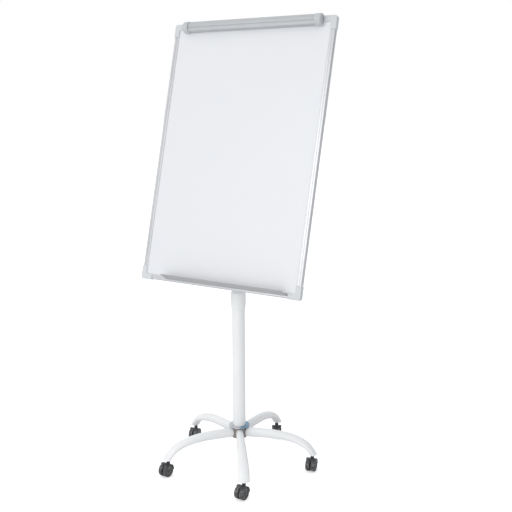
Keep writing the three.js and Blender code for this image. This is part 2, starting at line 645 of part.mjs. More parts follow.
// Pad hook: a slider that claws under the rail, with a peg for the pad's punched hole.
function hookGeometry() {
  const slider = block([-9, 9], [-6, -2.3], [974, 984]);
  const claw = block([-9, 9], [-2.5, -GAP], [974, 978.6]);
  const peg = rod(2.75, 5, 15.5, "y", [0, 0, 0], 14).rotateX(Math.PI);
  return carve([slider, claw, peg.translate(0, 0, 979)]);
}

function buildClamp(parent) {
  const railHalf = 254;
  addPiece(parent, "clamp_rail", block([-railHalf, railHalf], [-2, -GAP], [979, 988]), "zinc");
  addPiece(parent, "clamp_bar", clampBarGeometry(), "aluminium");
  for (const [name, side] of [["left", -1], ["right", 1]]) {
    addPiece(parent, `clamp_bracket_${name}`, bracketGeometry(side), "greyPlastic");
    const springStart = [side * (BRACKET_INNER_X - 15.5), 0, 0];
    addPiece(parent, `clamp_spring_${name}`, springGeometry(side), "zinc", springStart);
    addPiece(parent, `pad_hook_${name}`, hookGeometry(), "blackPlastic", [side * HOOK_X, 0, 0]);
  }
}

// ---------------------------------------------------------------- assembly
function buildBoard(parent) {
  const tilting = new THREE.Group();
  tilting.position.set(0, 0, PIVOT_Z);
  tilting.rotation.x = -rad(BOARD_TILT);
  parent.add(tilting);
  const board = new THREE.Group();
  board.position.set(0, -PIVOT_BEHIND, -PIVOT_UP);
  tilting.add(board);
  buildPanel(board);
  buildFrame(board);
  for (const [name, side, isTop] of [
    ["bottom_left", -1, false], ["bottom_right", 1, false],
    ["top_left", -1, true], ["top_right", 1, true],
  ]) {
    addPiece(board, `corner_cap_${name}`, cornerCap(side, isTop), "greyPlastic");
  }
  addPiece(board, "crossbar", crossbarGeometry(), "whitePaint");
  addPiece(board, "pen_tray", trayGeometry(), "trayAluminium");
  buildClamp(board);
}

const easel = new THREE.Group();
const standing = new THREE.Group();
standing.position.set(0, POLE_AXIS_Y, 0);
easel.add(standing);
buildBase(standing);
buildPole(standing);
buildTiltHead(standing);
buildBoard(standing);

export default easel;
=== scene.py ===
"""Looks of the mobile flipchart easel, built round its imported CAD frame.

Shapes are made in millimetres in the CAD's own local frames (the board's, the pole's, a castor's)
and written to the meshes in metres in the row frame, so that each object sits at the origin.
"""

import json
import math

import bmesh
import bpy
from mathutils import Matrix, Vector


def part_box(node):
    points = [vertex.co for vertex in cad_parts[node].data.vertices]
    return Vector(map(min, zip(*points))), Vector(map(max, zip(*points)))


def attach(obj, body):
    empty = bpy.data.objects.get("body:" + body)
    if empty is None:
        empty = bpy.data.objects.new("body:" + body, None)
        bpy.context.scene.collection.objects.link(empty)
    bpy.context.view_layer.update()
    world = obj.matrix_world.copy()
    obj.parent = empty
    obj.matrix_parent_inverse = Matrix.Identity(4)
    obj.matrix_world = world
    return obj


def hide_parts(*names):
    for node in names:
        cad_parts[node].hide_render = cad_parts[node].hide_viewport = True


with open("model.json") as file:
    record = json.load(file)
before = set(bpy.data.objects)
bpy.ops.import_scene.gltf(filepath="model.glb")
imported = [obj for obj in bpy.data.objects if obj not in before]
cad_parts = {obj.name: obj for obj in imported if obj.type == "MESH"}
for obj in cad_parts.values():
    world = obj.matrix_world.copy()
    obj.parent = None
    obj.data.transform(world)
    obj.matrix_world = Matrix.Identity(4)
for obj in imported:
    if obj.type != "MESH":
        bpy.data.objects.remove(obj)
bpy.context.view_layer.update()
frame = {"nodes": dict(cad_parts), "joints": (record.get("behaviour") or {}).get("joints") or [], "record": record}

RECORD = frame["record"]
JOINTS = {joint["name"]: joint for joint in frame["joints"]}
MOUNTS = {mount["name"]: mount for mount in RECORD["mounts"]}
SLOT_OF = {row["node"]: row["material_slot"] for row in RECORD["subparts"]}
BODY_OF = {node: body for body, nodes in RECORD["behaviour"]["bodies"].items() for node in nodes}
COLOUR_OF = {row["slot"]: row["base_color"] for row in RECORD["materials"]}

MM = 0.001
SIDES = 72  # round a turned piece
CASTORS = range(1, 6)
GAP = 0.3  # between pieces that touch

# Base, in millimetres from the pole's axis and the floor
HUB_R = (31, 28.5)
HUB_Z = (108, 151.5)
HUB_PLATE_R = 40
HUB_PLATE_TOP_Z = 157.5
HUB_FLOOR_Z = 123
BOLT_BORE_R = 5.4
ARM_START_R = 31.5
ARM_END_Z = 62
ARM_ROOT_SIZE = (28, 39)
ARM_END_SIZE = (43, 23)
ARM_CUT_LENGTH = 27.5  # of the flat end over the castor
ARM_WIDENING = 1.4  # how soon along the arm its width and height reach their end values
ARM_THINNING = 1.15
ARM_COPE_LENGTH = 6  # from the hub's surface to the first full section
ARM_CENTRELINE = [
    (24, 128), (100, 129.5), (150, 128.5), (192, 124), (226, 116),
    (254, 104.5), (275, 90), (288, 75), (296.5, ARM_END_Z),
]

# Castors, in the castor's own frame: stem on Z, axle behind it
WHEEL_R = 24
WHEEL_X = (2.4, 19.5)
TRAIL = 16
HOOD_R = 26.5
HOOD_INNER_R = 24.7
HOOD_HALF = 19.8
WEB_HALF = 2
HOOD_TOP_Z = 56
STEM_IN_HOOD = 7
STEM_IN_ARM = 12
STEM_R = 4
STEM_FLANGE_R = 5.5
BOSS_R = 7
AXLE_BORE_R = 3.3

# Pole and tilt head
POLE_R = 25
POLE_WALL = 2
POLE_FOOT = 7.5
POLE_Z = (HUB_FLOOR_Z + GAP, 681)
MAST_R = 21
MAST_WALL = 1.6
MAST_Z = (328, 1032.7)
COLLAR_R = 29
COLLAR_Z = (626, 697)
PIVOT_Z = 1000 * JOINTS["board_tilt"]["pos_m"][2]
HEAD_HALF = 22.5
EAR_X = (23, 27)
TILT_BORE_R = 5.3
TILT_BORE = [(0, -40), (TILT_BORE_R, -40), (TILT_BORE_R, 40), (0, 40)]
BOLT_HEAD_R = 9

# Board, in its own frame: x across, n out of the frame's front plane, h up from the bottom edge
BOARD_SIZE = (700, 1000)
CAP_LEG = 50
CAP_WIDTH = 22
CAP_DEPTH = (-2.5, 16.5)  # front and back, measured backwards from the front plane
FRAME_INSET = 2
PANEL = (335.5, 14.5)  # half width, and margin from the bottom and top edges
PIVOT_BEHIND = 58
PIVOT_UP = 363
CROSSBAR_DEPTH = 27.3  # the crossbar's back behind the frame's front plane
CROSSBAR_FRONT = 15.3
CROSSBAR_HALF = 337
CROSSBAR_HALF_HEIGHT = 25
CROSSBAR_WALL = 2
PLATE_HALF = (48, 30)
PLATE_BACK = 30
TRAY_X = (-229, 296)
CLAMP_AXIS = (10, 994)  # n, h
CLAMP_HALF = 273.7
CLAMP_WALL = 1.8
CLAMP_END = 3.5
PIN_R = 3.5
PIN_LENGTH = 18
BRACKET_X = (274.3, 298.5)
BRACKET_CENTRE = (8, 983)
BRACKET_R = 22
HOOK_X = 170
HOOK_HALF = 9
HOOK_Z = (974, 984)
PEG_Z = 979
PEG_R = 2.75
RAIL_FRONT = -2
RAIL_MIDDLE_Z = 983.5
RAIL_SCREW_X = (-247, 0, 247)  # clear of both hooks' travel

# ---------------------------------------------------------------- places
POLE = Matrix.Translation((0, JOINTS["board_tilt"]["pos_m"][1], 0)) @ Matrix.Scale(MM, 4)


def board_frame():
    """The board's own frame as a matrix: x across, y backwards, z up the board, in millimetres."""
    face = MOUNTS["crossbar_back"]
    across, back = Vector((1, 0, 0)), Vector(face["axis"])
    up = Vector((0, -back.z, back.y))
    place = Vector(face["pos_m"])
    origin = place - across * place.x - back * CROSSBAR_DEPTH * MM - up * PIVOT_UP * MM
    turned = Matrix((across, back, up)).transposed().to_4x4()
    return Matrix.Translation(origin) @ turned @ Matrix.Scale(MM, 4)


BOARD = board_frame()
BOARD_TILT = math.atan2(BOARD[1][2], BOARD[2][2])


def castor_frame(k):
    """A castor's own frame, from its swivel and its wheels' axis."""
    stem = JOINTS[f"castor_swivel_{k}"]["pos_m"]
    across = Vector(JOINTS[f"wheel_spin_left_{k}"]["axis"])
    turn = Matrix.Rotation(math.atan2(across.y, across.x), 4, "Z")
    return Matrix.Translation((stem[0], stem[1], 0)) @ turn @ Matrix.Scale(MM, 4)


def arm_frame(k):
    """An arm's own frame: x out from the pole's axis towards its castor's stem."""
    stem = Vector(JOINTS[f"castor_swivel_{k}"]["pos_m"]) - POLE.translation
    return POLE @ Matrix.Rotation(math.atan2(stem.y, stem.x), 4, "Z")


# ---------------------------------------------------------------- materials
def socket_mix(tree, factor, low, high):
    """A colour that goes from low to high with a factor socket."""
    mix = tree.nodes.new("ShaderNodeMix")
    mix.data_type = "RGBA"
    tree.links.new(factor, mix.inputs[0])
    for index, value in ((6, low), (7, high)):
        if isinstance(value, bpy.types.NodeSocket):
            tree.links.new(value, mix.inputs[index])
        else:
            mix.inputs[index].default_value = (*value[:3], 1)
    return mix.outputs[2]


def ranged(tree, value, from_low, from_high, to_low, to_high):
    """A value moved from one range to another."""
    node = tree.nodes.new("ShaderNodeMapRange")
    for index, number in enumerate((from_low, from_high, to_low, to_high), 1):
        node.inputs[index].default_value = number
    tree.links.new(value, node.inputs[0])
    return node.outputs[0]


def noise(tree, vector, size, detail=3.0):
    """Noise whose features are about size metres across."""
    node = tree.nodes.new("ShaderNodeTexNoise")
    node.inputs["Scale"].default_value = 1 / size
    node.inputs["Detail"].default_value = detail
    tree.links.new(vector, node.inputs["Vector"])
    return node.outputs["Fac"]


def surface(name, colour, roughness, metallic=0.0, coat=0.0, shade=0.06, shade_size=0.12,
            grain=0.0012, depth=0.00006, rough_spread=0.08, stretch=(1, 1, 1), second=None,
            second_size=0.03, second_from=0.55):
    """A finish: slow shade changes, a fine grain in height and gloss, and patches of a second colour.

    stretch draws the grain out along the board's own axes, as on an extruded or brushed bar.
    """
    material = bpy.data.materials.new(name)
    material.use_nodes = True
    tree = material.node_tree
    shader = tree.nodes["Principled BSDF"]
    shader.inputs["Metallic"].default_value = metallic
    shader.inputs["Coat Weight"].default_value = coat
    shader.inputs["Coat Roughness"].default_value = 0.12
    coordinates = tree.nodes.new("ShaderNodeTexCoord").outputs["Object"]
    mapping = tree.nodes.new("ShaderNodeMapping")
    mapping.vector_type = "TEXTURE"
    mapping.inputs["Rotation"].default_value = (-BOARD_TILT, 0, 0)
    mapping.inputs["Scale"].default_value = stretch
    tree.links.new(coordinates, mapping.inputs["Vector"])
    fine = noise(tree, mapping.outputs["Vector"], grain, 4.0)
    slow = noise(tree, coordinates, shade_size)
    darker = [c * (1 - shade) for c in colour]
    lighter = [min(1.0, c * (1 + shade * 0.4)) for c in colour]
    base = socket_mix(tree, ranged(tree, slow, 0.3, 0.7, 0, 1), darker, lighter)
    if any(s != 1 for s in stretch):
        base = socket_mix(tree, ranged(tree, fine, 0.25, 0.75, 0, 0.5), base, [c * 0.94 for c in colour])
    if second:
        patches = noise(tree, coordinates, second_size, 5.0)
        amount = ranged(tree, patches, second_from, second_from + 0.12, 0, 1)
        base = socket_mix(tree, amount, base, second)
    tree.links.new(base, shader.inputs["Base Color"])
    rough = ranged(tree, fine, 0.3, 0.7, roughness - rough_spread / 2, roughness + rough_spread / 2)
    tree.links.new(rough, shader.inputs["Roughness"])
    bump = tree.nodes.new("ShaderNodeBump")
    bump.inputs["Strength"].default_value = 0.6
    bump.inputs["Distance"].default_value = depth
    tree.links.new(fine, bump.inputs["Height"])
    tree.links.new(bump.outputs["Normal"], shader.inputs["Normal"])
    return material


ALONG_X = (60, 1, 1)
ALONG_H = (1, 1, 60)
# blue tint laid on one side of the hub's top plate
BLUE_SIDE_TINT = (0.16, 0.3, 0.42)
# painted shade on the hub's core between the arms, warm as a painted reflection
HUB_CORE_PAINTED_SHADE = (0.33, 0.29, 0.27)
BRACKET_GREY = (0.56, 0.58, 0.59)
TONE = {  # factors on the record's colours
    "board_enamel": 0.88, "frame_aluminium": 0.85, "grey_plastic": 0.88, "clamp_aluminium": 0.93,
    "tray_aluminium": 1.08, "black_plastic": 1.3, "wheel_nylon": 1.35,
}


def shaded(slot):
    """The slot's colour, brought to its tone under the studio's light."""
    return tuple(channel * TONE.get(slot, 1) for channel in COLOUR_OF[slot][:3])


def by_slot(slot, roughness, **settings):
    return surface(slot, shaded(slot), roughness, **settings)


MATERIALS = {
    "white_paint": by_slot("white_paint", 0.36, shade=0.03, grain=0.0016, depth=0.00007, coat=0.15),
    "white_plastic": by_slot("white_plastic", 0.34, shade=0.03, grain=0.0007, depth=0.00002),
    "grey_plastic": by_slot("grey_plastic", 0.5, shade=0.04, grain=0.0006, depth=0.00004),
    "black_plastic": by_slot(
        "black_plastic", 0.36, shade=0.3, grain=0.0006, depth=0.00005,
        second=(0.085, 0.088, 0.09), second_size=0.012),
    "wheel_nylon": by_slot(
        "wheel_nylon", 0.33, shade=0.3, grain=0.0008, depth=0.00005,
        second=(0.15, 0.148, 0.14), second_size=0.009, second_from=0.5),
    "black_steel": by_slot("black_steel", 0.35, metallic=0.5, shade=0.2, grain=0.0005, depth=0.00003),
    "zinc_plated_steel": by_slot(
        "zinc_plated_steel", 0.32, metallic=0.85, shade=0.22, shade_size=0.02, grain=0.0009,
        depth=0.00003, second=(0.25, 0.38, 0.47), second_size=0.035, second_from=0.54),
    "clamp_aluminium": by_slot(
        "clamp_aluminium", 0.45, metallic=0.25, grain=0.0006, depth=0.00002, stretch=ALONG_X),
    "tray_aluminium": by_slot(
        "tray_aluminium", 0.5, metallic=0.3, grain=0.0008, depth=0.00002, stretch=ALONG_X),
    "board_enamel": by_slot(
        "board_enamel", 0.4, coat=0.05, shade=0.012, shade_size=0.25, grain=0.004, depth=0.00003,
        rough_spread=0.05, second=(0.774, 0.785, 0.803), second_size=0.25, second_from=0.52),
    "fibreboard": by_slot(
        "fibreboard", 0.85, shade=0.2, shade_size=0.01, grain=0.0015, depth=0.0002,
        second=(0.3, 0.21, 0.13), second_size=0.004),
    "backing_sheet": by_slot(
        "backing_sheet", 0.45, metallic=0.5, shade=0.05, shade_size=0.03, grain=0.002, depth=0.00003,
        second=(0.63, 0.645, 0.66), second_size=0.02, second_from=0.5),
}
BRACKET_PLASTIC = surface(
    "bracket_plastic", BRACKET_GREY, 0.42, shade=0.05, grain=0.0006, depth=0.00004)
FRAME_MATERIALS = {
    name: surface(f"frame_aluminium_{name}", shaded("frame_aluminium"), 0.32, metallic=0.6,
                  grain=0.0007, depth=0.00002, stretch=stretch)
    for name, stretch in (("across", ALONG_X), ("upright", ALONG_H))
}


def zinc_with_painted_shade():
    """Zinc plate on the hub, with a blue tint laid on one side of its top plate, and painted shade with a warm
    painted reflection on the core below the plate, between the arms.
    """
    material = by_slot(
        "zinc_plated_steel", 0.32, metallic=0.7, shade=0.2, shade_size=0.02, grain=0.0009, depth=0.00003)
    material.name = "hub_zinc_painted_shade"
    tree = material.node_tree
    base = tree.nodes["Principled BSDF"].inputs["Base Color"]
    place = tree.nodes.new("ShaderNodeTexCoord").outputs["Object"]

    def distance_along(direction):
        product = tree.nodes.new("ShaderNodeVectorMath")
        product.operation = "DOT_PRODUCT"
        product.inputs[1].default_value = direction
        tree.links.new(place, product.inputs[0])
        return product.outputs["Value"]

    # A blue tint is laid on the side of the top plate towards +x, +y.
    tinted_side = (0.85, 0.53, 0)
    middle = tinted_side[1] * POLE.translation.y
    side = ranged(tree, distance_along(tinted_side), middle - 0.002, middle + 0.012, 0, 0.9)
    # Below the top plate the core is painted dark and warm: painted shade between the arms, with a painted warm
    # reflection.
    plate = HUB_Z[1] * MM
    height = ranged(tree, distance_along((0, 0, 1)), plate - 0.0006, plate, 0, 1)
    plated = socket_mix(tree, side, base.links[0].from_socket, BLUE_SIDE_TINT)
    tree.links.new(socket_mix(tree, height, HUB_CORE_PAINTED_SHADE, plated), base)
    return material


# ---------------------------------------------------------------- mesh helpers
def rounded(corners, steps=5, closed=True):
    """An outline with arcs in place of its corners, each given as (a, b) or (a, b, radius)."""
    points = []
    count = len(corners)
    for i, corner in enumerate(corners):
        here = Vector(corner[:2])
        radius = corner[2] if len(corner) > 2 else 0
        if radius == 0 or (not closed and i in (0, count - 1)):
            points.append(tuple(here))
            continue
        towards = (Vector(corners[i - 1][:2]) - here).normalized()
        onwards = (Vector(corners[(i + 1) % count][:2]) - here).normalized()
        half = towards.angle(onwards) / 2
        centre = here + (towards + onwards).normalized() * (radius / math.sin(half))
        first = here + towards * (radius / math.tan(half)) - centre
        last = here + onwards * (radius / math.tan(half)) - centre
        sweep = math.atan2(first.x * last.y - first.y * last.x, first.dot(last))
        for step in range(steps + 1):
            turn = Matrix.Rotation(sweep * step / steps, 2)
            points.append(tuple(centre + turn @ first))
    return points


def arc(centre, radius, start, end, steps=12):
    """Points on an arc, from the angle start to the angle end, in degrees."""
    angles = [math.radians(start + (end - start) * i / steps) for i in range(steps + 1)]
    return [(centre[0] + radius * math.cos(a), centre[1] + radius * math.sin(a)) for a in angles]


def curve_to(start, control, end, steps=8):
    """Points on a quadratic curve, without its first point."""
    a, b, c = Vector(start), Vector(control), Vector(end)
    shares = [(i + 1) / steps for i in range(steps)]
    return [tuple(a * (1 - t) ** 2 + b * 2 * t * (1 - t) + c * t * t) for t in shares]


def loft(rings, cap=True):
    """A mesh through closed rings of points. A ring with one point is a tip.

    Without caps the last ring joins the first.
    """
    mesh = bmesh.new()
    rows = [[mesh.verts.new(point) for point in ring] for ring in rings]
    pairs = list(zip(rows, rows[1:]))
    if not cap:
        pairs.append((rows[-1], rows[0]))
    for low, high in pairs:
        count = max(len(low), len(high))
        for i in range(count):
            j = (i + 1) % count
            if len(low) == 1:
                mesh.faces.new((low[0], high[j], high[i]))
            elif len(high) == 1:
                mesh.faces.new((low[i], low[j], high[0]))
            else:
                mesh.faces.new((low[i], low[j], high[j], high[i]))
    if cap:
        for row in (rows[0], rows[-1]):
            if len(row) > 2:
                mesh.faces.new(row)
    bmesh.ops.recalc_face_normals(mesh, faces=mesh.faces)
    return mesh


def placed(axis, along, pair):
    """A point from its place along an axis and its two other coordinates, in the order x, y, z."""
    a, b = pair
    return {"x": (along, a, b), "y": (a, along, b), "z": (a, b, along)}[axis]


def prism(outline, axis, start, end):
    """An outline drawn out along an axis, from start to end."""
    return loft([[placed(axis, t, point) for point in outline] for t in (start, end)])


def turned(profile, axis="z", centre=(0, 0), tube=False, sides=SIDES, lobes=None):
    """A profile of (radius, along) turned about an axis that passes through centre.

    A tube's profile closes on itself. lobes gives a factor on the radius for each angle.
    """
    rings = []
    for radius, along in profile:
        ring = []
        for i in range(sides if radius > 1e-6 else 1):
            angle = 2 * math.pi * i / sides
            r = radius * (lobes(angle) if lobes else 1)
            pair = (centre[0] + r * math.cos(angle), centre[1] + r * math.sin(angle))
            ring.append(placed(axis, along, pair))
        rings.append(ring)
    return loft(rings, cap=not tube)


def as_object(name, meshes, place):
    """One object from one or more bmeshes in a local frame, with its place written into the mesh."""
    joined = bmesh.new()
    data = bpy.data.meshes.new(name)
    for mesh in meshes if isinstance(meshes, list) else [meshes]:
        part = bpy.data.meshes.new("part")
        mesh.to_mesh(part)
        mesh.free()
        joined.from_mesh(part)
        bpy.data.meshes.remove(part)
    joined.transform(place)
    joined.to_mesh(data)
    joined.free()
    item = bpy.data.objects.new(name, data)
    bpy.context.scene.collection.objects.link(item)
    return item


def freeze(item):
    """Writes the result of an object's modifiers into its mesh."""
    bpy.context.view_layer.update()
    made = bpy.data.meshes.new_from_object(item.evaluated_get(bpy.context.evaluated_depsgraph_get()))
    item.modifiers.clear()
    item.data = made
    return item


def soften(item, width, segments=3, angle=40):
    """Rounds the edges sharper than an angle; width is in millimetres."""
    bevel = item.modifiers.new("rounded_edges", "BEVEL")
    bevel.width = width * MM
    bevel.segments = segments
    bevel.limit_method = "ANGLE"
    bevel.angle_limit = math.radians(angle)
    return freeze(item)


def combine(item, other, operation):
    """Cuts another object out of one, or joins it, and removes the other."""
    boolean = item.modifiers.new("boolean", "BOOLEAN")
    boolean.operation = operation
    boolean.solver = "EXACT"
    boolean.object = other
    freeze(item)
    bpy.data.objects.remove(other)
    return item


def shade(item, angle=32):
    """Joins doubled points, and shades smooth all but the edges sharper than an angle."""
    mesh = bmesh.new()
    mesh.from_mesh(item.data)
    bmesh.ops.remove_doubles(mesh, verts=mesh.verts, dist=1e-6)
    mesh.to_mesh(item.data)
    mesh.free()
    item.data.shade_smooth()
    item.data.set_sharp_from_angle(angle=math.radians(angle))


def stand_for(item, node, material=None):
    """The object takes the place of a CAD node: its body, its slot and its finish."""
    item.data.materials.clear()
    item.data.materials.append(material or MATERIALS[SLOT_OF[node]])
    shade(item)
    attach(item, BODY_OF[node])
    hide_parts(node)


def extra(item, body, slot):
    """A small piece that the CAD leaves out, such as a screw."""
    item.data.materials.clear()
    item.data.materials.append(MATERIALS[slot])
    shade(item)
    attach(item, body)


def screws(name, body, places, axis_end, place, radius=4.5, height=2.4):
    """Pan-head screws with a cross recess, standing on a face whose outward direction is +/-y."""
    heads = []
    for x, y, z in places:
        profile = [(0, y + axis_end * height), (radius * 0.55, y + axis_end * height * 0.96),
                   (radius * 0.86, y + axis_end * height * 0.72), (radius, y + axis_end * height * 0.3),
                   (radius, y), (0, y)]
        heads.append(turned(profile, "y", (x, z), sides=28))
    item = as_object(name, heads, place)
    slots = []
    arm, half = radius * 0.5, radius * 0.13
    for x, y, z in places:
        top, bottom = y + axis_end * (height + 1), y + axis_end * height * 0.35
        for wide, tall in ((arm, half), (half, arm)):
            outline = [
                (x - wide, z - tall), (x + wide, z - tall), (x + wide, z + tall), (x - wide, z + tall),
            ]
            slots.append(prism(outline, "y", *sorted((top, bottom))))
    for start in (0, 1):
        combine(item, as_object("cross_recess", slots[start::2], place), "DIFFERENCE")
    extra(item, body, "zinc_plated_steel")


# ---------------------------------------------------------------- base
def catmull(before, low, high, after, t):
    """A point at the share t from low to high, on the smooth curve through four points."""
    return 0.5 * (2 * low + (high - before) * t + (2 * before - 5 * low + 4 * high - after) * t * t
                  + (3 * low - before - 3 * high + after) * t ** 3)


def arm_path(per_span=7):
    """Points along the arm's centreline as (radius, height)."""
    points = [Vector(p) for p in ARM_CENTRELINE]
    line = []
    for i in range(len(points) - 1):
        before = points[i - 1] if i else points[0] * 2 - points[1]
        after = points[i + 2] if i + 2 < len(points) else points[-1] * 2 - points[-2]
        for step in range(per_span):
            line.append(catmull(before, points[i], points[i + 1], after, step / per_span))
    return [*line, points[-1]]


def arm_rings(sides=40):
    """Oval sections along the arm, the last one level, where the tube is cut flat over its castor.

    The section before the level one is left out, because it would cross it.
    """
    path = arm_path()
    rings = []
    for i, point in enumerate(path):
        if point.x < ARM_START_R + ARM_COPE_LENGTH or i == len(path) - 2:
            continue
        is_cut = i == len(path) - 1
        along = Vector((0, -1)) if is_cut else (path[i + 1] - path[i - 1]).normalized()
        up = Vector((-along.y, along.x))
        share = i / (len(path) - 1)
        sizes = [
            root + (end - root) * min(1, share * rate)
            for root, end, rate in zip(ARM_ROOT_SIZE, ARM_END_SIZE, (ARM_WIDENING, ARM_THINNING))
        ]
        if is_cut:
            sizes[1] = ARM_CUT_LENGTH
        angles = [2 * math.pi * side / sides for side in range(sides)]
        rings.append([
            (point.x + up.x * sizes[1] / 2 * math.sin(a), sizes[0] / 2 * math.cos(a),
             point.y + up.y * sizes[1] / 2 * math.sin(a))
            for a in angles
        ])
    return rings


def build_arms():
    """Bent oval tubes, coped onto the hub and closed over the castor by a flat end."""
    rings = arm_rings()
    cope = [(math.sqrt(ARM_START_R ** 2 - y * y), y, z) for _, y, z in rings[0]]
    for k in CASTORS:
        item = as_object(f"arm_{k}_fine", loft([cope, *rings]), arm_frame(k))
        soften(item, 0.8, 3, 50)
        stand_for(item, f"arm_{k}")


def build_hub():
    """Turned hub: a conical core that the arms meet, a cover plate on it and a socket for the pole."""
    profile = rounded([
        (BOLT_BORE_R, HUB_Z[0]), (HUB_R[0], HUB_Z[0], 1.2), (HUB_R[1], HUB_Z[1], 0.4),
        (HUB_PLATE_R, HUB_Z[1], 1), (HUB_PLATE_R, HUB_PLATE_TOP_Z, 1.6),
        (POLE_R + GAP, HUB_PLATE_TOP_Z, 0.6), (POLE_R + GAP, HUB_FLOOR_Z), (BOLT_BORE_R, HUB_FLOOR_Z),
    ])
    hub = as_object("hub_fine", turned(profile, tube=True), POLE)
    # the hub's zinc, with painted shade and a painted warm reflection on its core
    stand_for(hub, "hub", zinc_with_painted_shade())


# ---------------------------------------------------------------- castors
def wheel_mesh():
    """Nylon wheel on X: crowned tread, dished outer face with a groove and a raised cap."""
    inner, outer = WHEEL_X
    profile = rounded([
        (0, outer - 0.6), (6.2, outer - 0.6, 0.8), (7.4, outer - 2.6, 0.8), (15.5, outer - 2.2, 0.8),
        (17, outer - 0.2, 0.8), (WHEEL_R - 3.2, outer, 1.6), (WHEEL_R - 0.3, outer - 2.6, 2),
        (WHEEL_R, outer - 6, 3), (WHEEL_R, inner + 1.2, 1), (WHEEL_R - 1.4, inner, 0.8), (0, inner),
    ], steps=4, closed=False)
    return turned(profile, "x", sides=64)


def mudguard_arc(axle, lip=0.9, steps=30):
    """The mudguard's outer curve, which thins to a lip at its front and back ends."""
    points = []
    for i in range(steps + 1):
        rise = (HOOD_R - HOOD_INNER_R - lip) * math.sin(math.pi * i / steps) ** 0.5
        radius = HOOD_INNER_R + lip + rise
        angle = math.radians(-5 + 110 * i / steps)
        points.append((axle[0] + radius * math.cos(angle), axle[1] + radius * math.sin(angle)))
    return points


def hood_object(name, place):
    """Castor body: a web between the wheels, a mudguard over them and a boss round the stem."""
    axle = (-TRAIL, WHEEL_R)
    web_outline = arc(axle, HOOD_R - 0.4, -5, 105, 26) + arc(axle, 9, 180, 330, 14)
    web = as_object(name, prism(web_outline, "x", -WEB_HALF, WEB_HALF), place)
    soften(web, 0.6, 2)
    guard_outline = mudguard_arc(axle) + arc(axle, HOOD_INNER_R, 105, -5, 30)
    guard = as_object("mudguard", prism(guard_outline, "x", -HOOD_HALF, HOOD_HALF), place)
    soften(guard, 0.4, 3, 60)
    combine(web, guard, "UNION")
    boss_foot = WHEEL_R + 14
    boss_profile = rounded(
        [(0, boss_foot), (BOSS_R, boss_foot), (BOSS_R, HOOD_TOP_Z, 0.8), (0, HOOD_TOP_Z)], closed=False)
    combine(web, as_object("boss", turned(boss_profile, sides=40), place), "UNION")
    bore_profile = [(0, -12), (AXLE_BORE_R, -12), (AXLE_BORE_R, 12), (0, 12)]
    axle_bore = turned(bore_profile, "x", axle, sides=28)
    combine(web, as_object("bore", axle_bore, place), "DIFFERENCE")
    bottom, top = HOOD_TOP_Z - STEM_IN_HOOD - 1, HOOD_TOP_Z + 2
    radius = STEM_R + GAP
    stem_bore = turned([(0, bottom), (radius, bottom), (radius, top), (0, top)], sides=28)
    return combine(web, as_object("bore", stem_bore, place), "DIFFERENCE")


def build_castors():
    """Flanged stems, bodies and wheel pairs, each in its castor's own frame."""
    bottom, top = HOOD_TOP_Z - STEM_IN_HOOD, ARM_END_Z + STEM_IN_ARM
    stem_profile = rounded([
        (0, bottom), (STEM_R, bottom, 0.6),
        (STEM_R, HOOD_TOP_Z + GAP), (STEM_FLANGE_R, HOOD_TOP_Z + GAP, 0.5),
        (STEM_FLANGE_R, ARM_END_Z - GAP, 0.5), (STEM_R, ARM_END_Z - GAP),
        (STEM_R, top, 0.6), (0, top),
    ], closed=False)
    for k in CASTORS:
        place = castor_frame(k)
        axle_place = place @ Matrix.Translation((0, -TRAIL, WHEEL_R))
        stem = as_object(f"castor_stem_{k}_fine", turned(stem_profile, sides=32), place)
        stand_for(stem, f"castor_stem_{k}")
        stand_for(hood_object(f"castor_hood_{k}_fine", place), f"castor_hood_{k}")
        stand_for(as_object(f"wheel_right_{k}_fine", wheel_mesh(), axle_place), f"wheel_right_{k}")
        mirrored = axle_place @ Matrix.Rotation(math.pi, 4, "Z")
        stand_for(as_object(f"wheel_left_{k}_fine", wheel_mesh(), mirrored), f"wheel_left_{k}")


# ---------------------------------------------------------------- pole
def build_pole():
    """Outer tube with a thick foot, inner tube, and the collar that grips them."""
    foot, floor = POLE_Z[0], POLE_Z[0] + POLE_FOOT
    bore = POLE_R - POLE_WALL
    lower = rounded([
        (BOLT_BORE_R, foot), (POLE_R, foot, 0.5), (POLE_R, POLE_Z[1], 0.7), (bore, POLE_Z[1], 0.7),
        (bore, floor), (BOLT_BORE_R, floor),
    ])
    stand_for(as_object("lower_pole_fine", turned(lower, tube=True), POLE), "lower_pole")
    mast = rounded([
        (MAST_R - MAST_WALL, MAST_Z[0], 0.5), (MAST_R, MAST_Z[0], 0.5),
        (MAST_R, MAST_Z[1], 0.5), (MAST_R - MAST_WALL, MAST_Z[1], 0.5),
    ])
    stand_for(as_object("inner_pole_fine", turned(mast, tube=True), POLE), "inner_pole")
    bottom, top = COLLAR_Z
    collar = rounded([
        (POLE_R + GAP, bottom, 0.3), (POLE_R + 1.3, bottom, 0.4), (COLLAR_R, bottom + 22, 6),
        (COLLAR_R, top - 16, 0.2), (COLLAR_R - 0.5, top - 15.4, 0.2), (COLLAR_R - 0.5, top - 14.6, 0.2),
        (COLLAR_R, top - 14, 0.2), (COLLAR_R, top - 7, 5), (COLLAR_R - 3.5, top, 2.4),
        (MAST_R + 0.4, top, 0.6), (MAST_R + 0.4, top - 9.5), (POLE_R + GAP, top - 9.5),
    ], steps=8)
    stand_for(as_object("height_collar_fine", turned(collar, tube=True), POLE), "height_collar")


